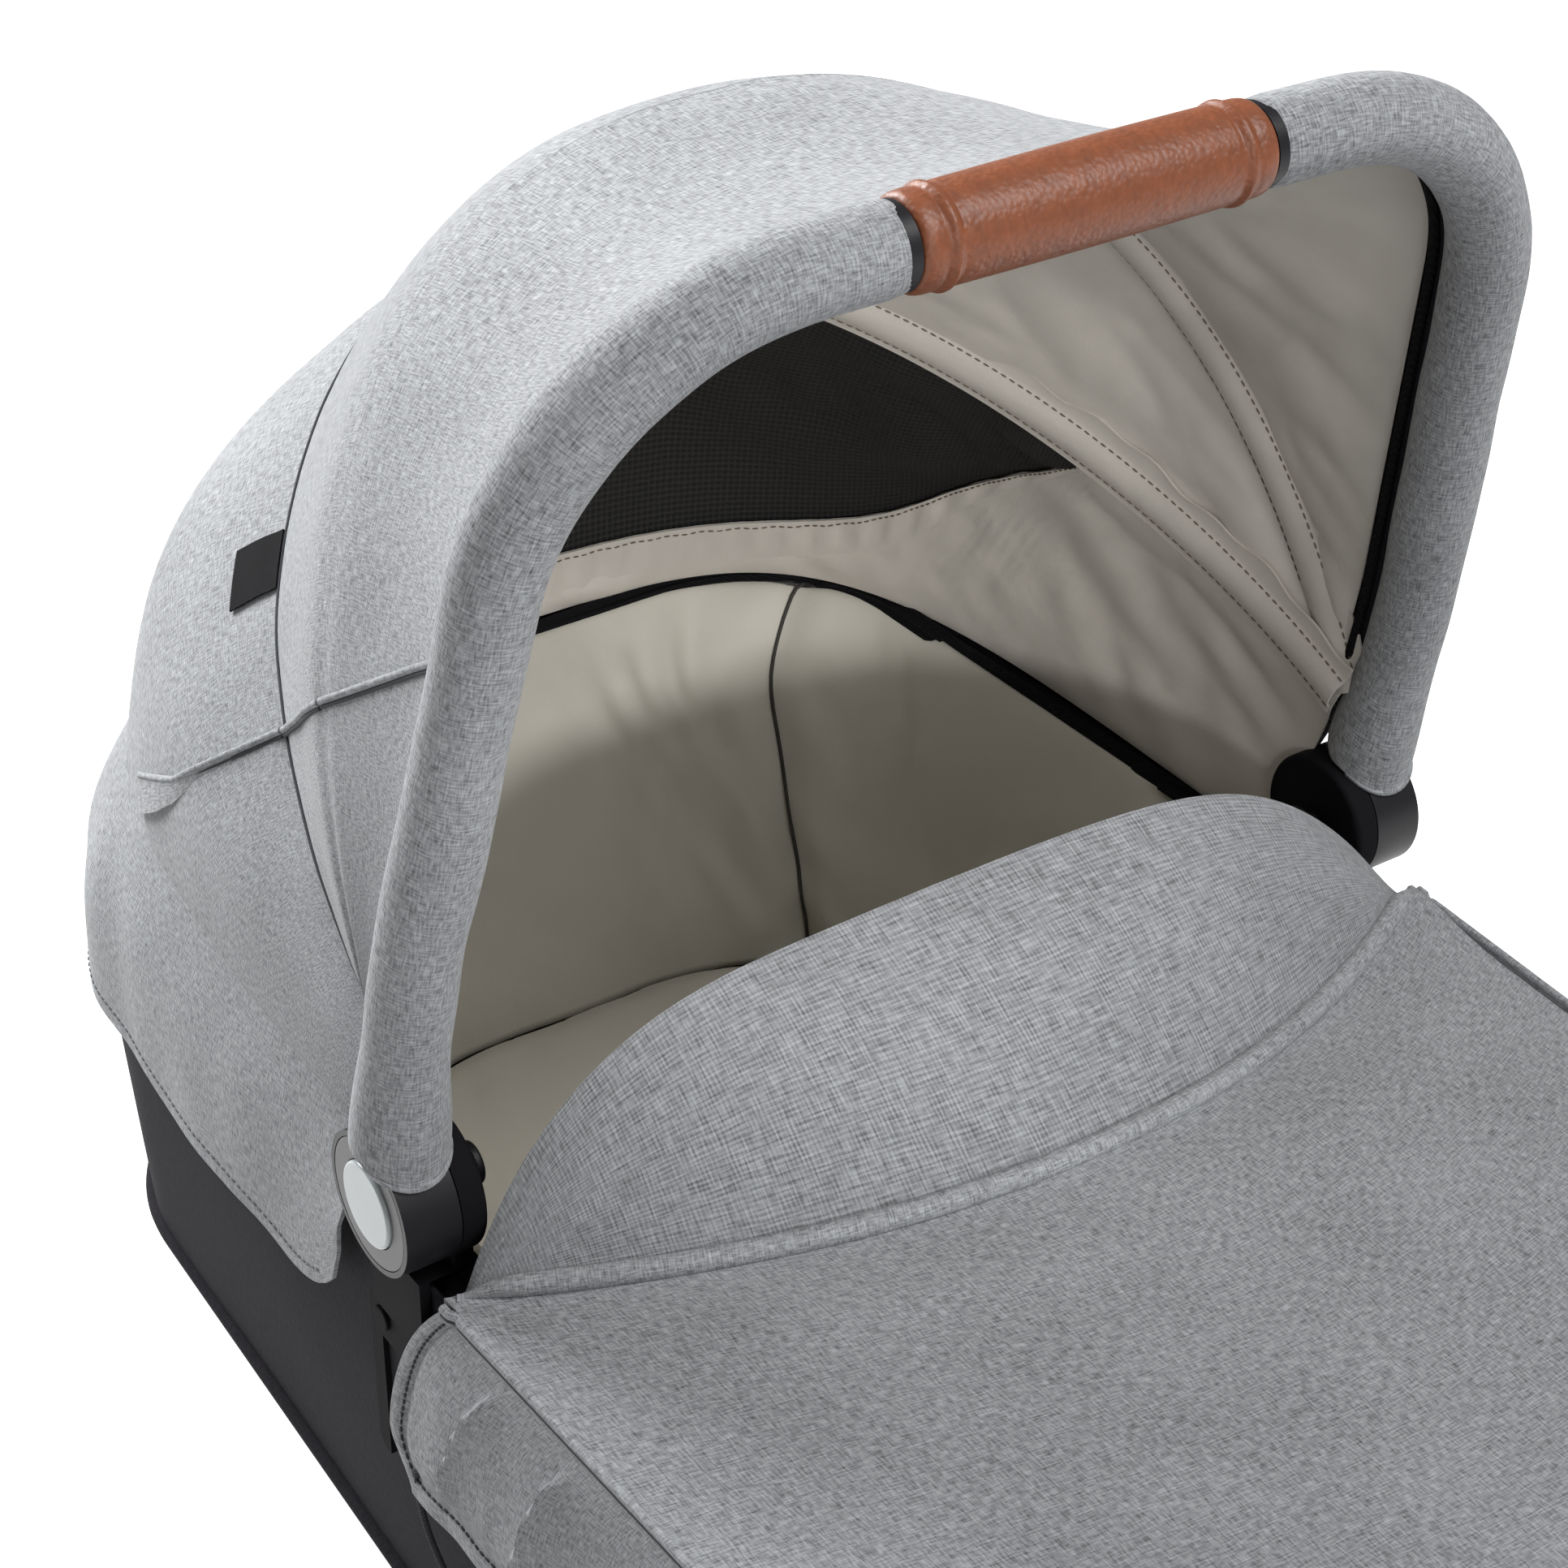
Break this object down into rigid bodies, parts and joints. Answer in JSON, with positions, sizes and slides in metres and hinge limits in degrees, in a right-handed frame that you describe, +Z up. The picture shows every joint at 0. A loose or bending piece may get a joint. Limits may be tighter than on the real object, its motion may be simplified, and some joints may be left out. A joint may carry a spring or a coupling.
{
  "type": "pram carrycot",
  "caption": "Soft-sided pram carrycot with a folding canopy on a padded carry bow with a leather grip, lined tub, mattress and an apron with a turn-up flap over the foot end.",
  "frame": {"origin": "on the floor, under the middle of the carrycot", "axes": "+Z up, +Y to the head end, +X to the right as seen from the foot end"},
  "size_m": [0.458, 0.8599, 0.5776],
  "materials": {
    "heather_grey_cloth": "woven heather polyester",
    "charcoal_cloth": "woven heather polyester over a stiff liner",
    "beige_lining": "soft satin lining over wadding",
    "black_binding": "flat woven binding",
    "black_nylon": "fine moulded texture",
    "rubber_feet": "matte",
    "fibreboard": "plain hardboard",
    "aluminium_tube": "drawn tube",
    "zinc_steel": "zinc plated",
    "grey_ring": "moulded, satin",
    "pale_button": "moulded, polished",
    "tan_leatherette": "embossed grain"
  },
  "bodies": {
    "tub": {"tub_wall": "charcoal_cloth", "base_pan": "black_nylon", "foot_pads": "rubber_feet", "base_board": "fibreboard", "bottom_piping": "charcoal_cloth", "rim_frame": "aluminium_tube", "mattress": "beige_lining", "lining_head": "beige_lining", "lining_foot": "beige_lining", "lining_right": "beige_lining", "lining_left": "beige_lining", "rim_trim": "black_binding", "rim_tabs": "black_binding", "hub_housing_right": "black_nylon", "hub_housing_left": "black_nylon", "side_bracket_right": "black_nylon", "side_bracket_left": "black_nylon", "bracket_screws_right": "zinc_steel", "bracket_screws_left": "zinc_steel", "pivot_bolt_right": "zinc_steel", "pivot_bolt_left": "zinc_steel", "canopy_rear": "heather_grey_cloth", "hood_skirt": "heather_grey_cloth", "apron_panel": "heather_grey_cloth", "apron_piping": "heather_grey_cloth", "apron_yoke": "heather_grey_cloth"},
    "rear_rib": {"rib_rear": "black_nylon", "canopy_mid": "heather_grey_cloth"},
    "front_rib": {"rib_front": "black_nylon", "canopy_front": "heather_grey_cloth"},
    "bow": {"handle_tube": "aluminium_tube", "hub_cap_right": "black_nylon", "hub_cap_left": "black_nylon", "hub_ring_right": "grey_ring", "hub_ring_left": "grey_ring", "sleeve_right": "heather_grey_cloth", "sleeve_left": "heather_grey_cloth", "grip": "tan_leatherette", "grip_collar_right": "black_nylon", "grip_collar_left": "black_nylon", "button_spring_right": "zinc_steel", "button_spring_left": "zinc_steel"},
    "button_right": {"button_right": "pale_button", "lock_gear_right": "black_nylon"},
    "button_left": {"button_left": "pale_button", "lock_gear_left": "black_nylon"},
    "apron_flap": {"apron_flap": "heather_grey_cloth"}
  },
  "joints": [
    {"name": "rear_rib_hinge", "type": "hinge", "parent": "tub", "child": "rear_rib", "pos_m": [0, 0.064, 0.225], "axis": [-1, 0, 0], "range_deg": [0, 32], "deforming": ["canopy_rear"]},
    {"name": "front_rib_hinge", "type": "hinge", "parent": "rear_rib", "child": "front_rib", "pos_m": [0, 0.064, 0.225], "axis": [-1, 0, 0], "range_deg": [0, 22], "deforming": ["canopy_mid"]},
    {"name": "bow_hinge", "type": "hinge", "parent": "front_rib", "child": "bow", "pos_m": [0, 0.064, 0.225], "axis": [-1, 0, 0], "range_deg": [0, 26], "deforming": ["canopy_front"]},
    {"name": "button_right_press", "type": "slide", "parent": "bow", "child": "button_right", "axis": [-1, 0, 0], "range_m": [0, 0.004], "stiffness_N_per_m": 400, "deforming": ["button_spring_right"]},
    {"name": "button_left_press", "type": "slide", "parent": "bow", "child": "button_left", "axis": [1, 0, 0], "range_m": [0, 0.004], "stiffness_N_per_m": 400, "deforming": ["button_spring_left"]},
    {"name": "apron_flap_fold", "type": "hinge", "parent": "tub", "child": "apron_flap", "pos_m": [0, -0.032, 0.226], "axis": [1, 0, 0], "range_deg": [0, 95]}
  ],
  "couplings": [
    {"joint": "front_rib_hinge", "follows": "bow_hinge", "ratio": 0.84615},
    {"joint": "rear_rib_hinge", "follows": "bow_hinge", "ratio": 1.2308}
  ]
}
